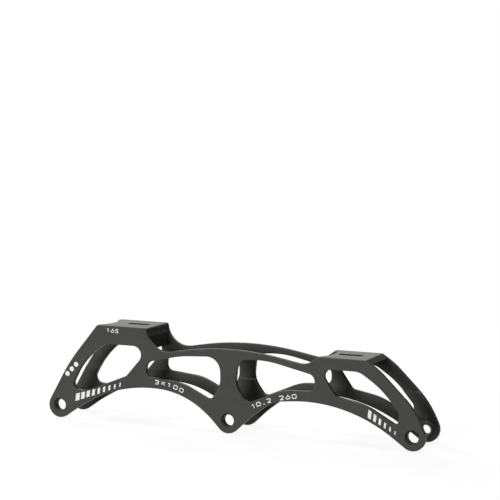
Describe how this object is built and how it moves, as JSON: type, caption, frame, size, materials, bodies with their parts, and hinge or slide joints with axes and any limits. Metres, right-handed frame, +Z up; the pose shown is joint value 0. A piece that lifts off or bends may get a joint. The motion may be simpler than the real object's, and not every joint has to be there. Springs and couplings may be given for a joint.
{
  "type": "inline skate frame",
  "caption": "Dark grey machined aluminium inline skate frame: an open channel of windowed side walls and slotted boot platforms, with axle bores facing thread inserts.",
  "frame": {"origin": "on the surface that the axle bosses stand on, below the middle axle, midway between the side walls", "axes": "+X forward to the lower platform, +Y to the left wall that holds the threads, +Z up to the boot"},
  "size_m": [0.2776, 0.036, 0.0678],
  "materials": {
    "frame_metal": "dark grey satin anodised, with milled platform tops a little lighter",
    "insert_steel": "dark steel, turned"
  },
  "bodies": {
    "root": {"right_side_wall": "frame_metal", "left_side_wall": "frame_metal", "rear_deck": "frame_metal", "front_deck": "frame_metal", "rear_thread_insert": "insert_steel", "middle_thread_insert": "insert_steel", "front_thread_insert": "insert_steel"}
  },
  "joints": []
}
